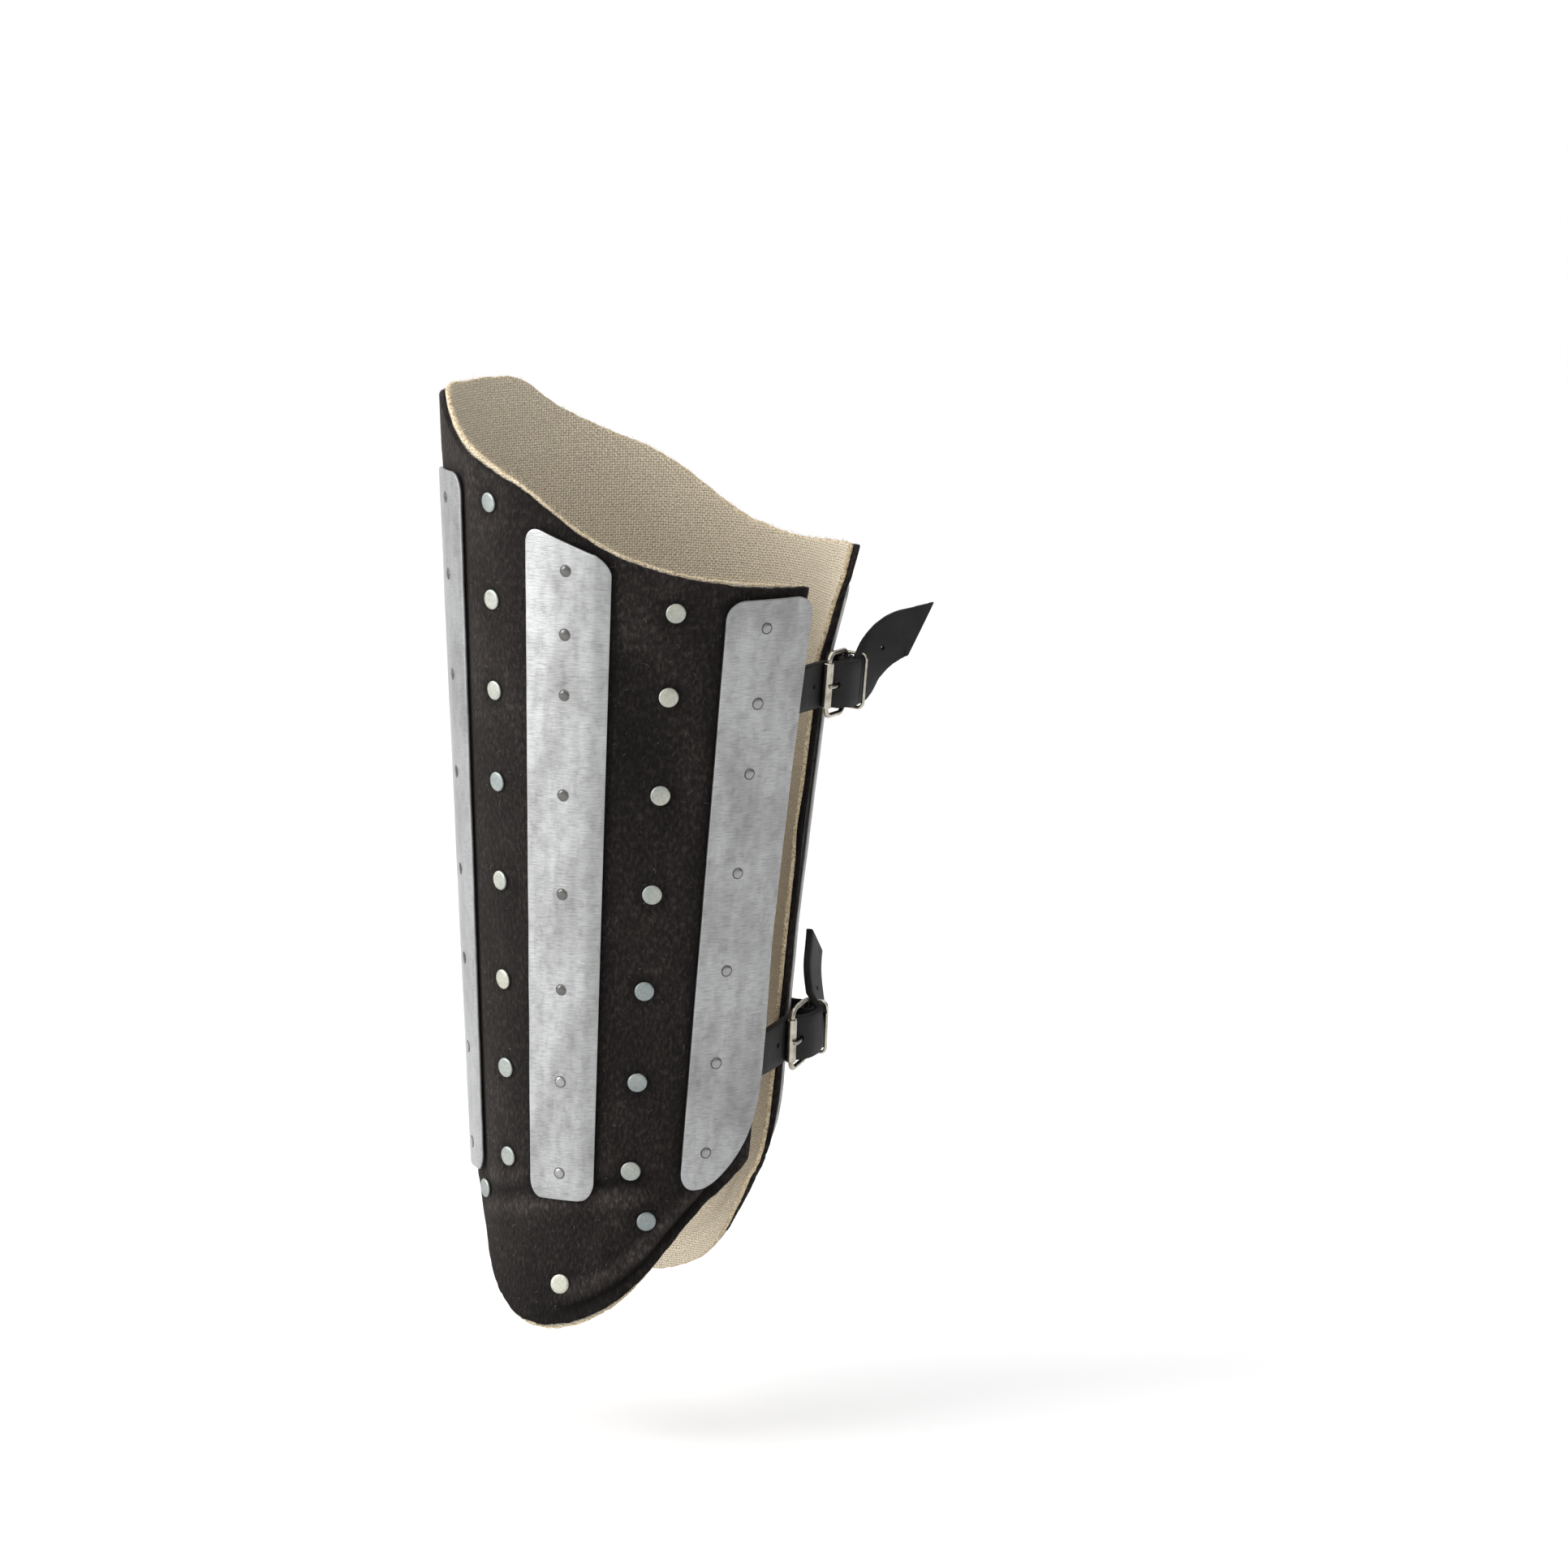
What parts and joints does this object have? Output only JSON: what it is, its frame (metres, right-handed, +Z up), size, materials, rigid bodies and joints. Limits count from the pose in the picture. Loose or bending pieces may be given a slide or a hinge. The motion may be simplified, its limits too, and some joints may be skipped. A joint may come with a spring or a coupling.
{
  "type": "greave",
  "caption": "Splinted greave for one lower leg: open-backed felt shell with woven lining, riveted steel splints, and two leather straps with roller buckles.",
  "frame": {"origin": "on the axis of the leg, level with the lowest point of the ankle flap", "axes": "+Z up along the leg, -Y to the front of the shin, +X to the outer side of the left leg"},
  "size_m": [0.1638, 0.208, 0.3986],
  "materials": {
    "felt": "matte black wool felt with a short nap",
    "lining_weave": "undyed coarse plain weave",
    "splint_steel": "satin steel, finely brushed across",
    "rivet_steel": "satin flat rivet heads",
    "leather": "black strap leather, matt with rough cut edges",
    "buckle_nickel": "bright nickel plate"
  },
  "bodies": {
    "root": {"buckle_frame_lower": "buckle_nickel", "buckle_frame_upper": "buckle_nickel", "buckle_prong_lower": "buckle_nickel", "buckle_prong_upper": "buckle_nickel", "buckle_roller_lower": "buckle_nickel", "buckle_roller_upper": "buckle_nickel", "chape_lower": "leather", "chape_upper": "leather", "cover": "felt", "keeper_lower": "buckle_nickel", "keeper_upper": "buckle_nickel", "lining": "lining_weave", "rivet_centre_1": "rivet_steel", "rivet_centre_2": "rivet_steel", "rivet_centre_3": "rivet_steel", "rivet_centre_4": "rivet_steel", "rivet_inner_back_1": "rivet_steel", "rivet_inner_back_2": "rivet_steel", "rivet_inner_back_3": "rivet_steel", "rivet_inner_back_4": "rivet_steel", "rivet_inner_back_5": "rivet_steel", "rivet_inner_back_6": "rivet_steel", "rivet_inner_back_7": "rivet_steel", "rivet_inner_flap_1": "rivet_steel", "rivet_inner_flap_2": "rivet_steel", "rivet_inner_flap_3": "rivet_steel", "rivet_inner_front_1": "rivet_steel", "rivet_inner_front_2": "rivet_steel", "rivet_inner_front_3": "rivet_steel", "rivet_inner_front_4": "rivet_steel", "rivet_inner_front_5": "rivet_steel", "rivet_inner_front_6": "rivet_steel", "rivet_inner_front_7": "rivet_steel", "rivet_inner_front_8": "rivet_steel", "rivet_outer_back_1": "rivet_steel", "rivet_outer_back_2": "rivet_steel", "rivet_outer_back_3": "rivet_steel", "rivet_outer_back_4": "rivet_steel", "rivet_outer_back_5": "rivet_steel", "rivet_outer_back_6": "rivet_steel", "rivet_outer_back_7": "rivet_steel", "rivet_outer_flap_1": "rivet_steel", "rivet_outer_flap_2": "rivet_steel", "rivet_outer_flap_3": "rivet_steel", "rivet_outer_front_1": "rivet_steel", "rivet_outer_front_2": "rivet_steel", "rivet_outer_front_3": "rivet_steel", "rivet_outer_front_4": "rivet_steel", "rivet_outer_front_5": "rivet_steel", "rivet_outer_front_6": "rivet_steel", "rivet_outer_front_7": "rivet_steel", "rivet_outer_front_8": "rivet_steel", "splint_inner_back": "splint_steel", "splint_inner_front": "splint_steel", "splint_inner_side": "splint_steel", "splint_outer_back": "splint_steel", "splint_outer_front": "splint_steel", "splint_outer_side": "splint_steel", "strap_lower": "leather", "strap_upper": "leather"}
  },
  "joints": []
}
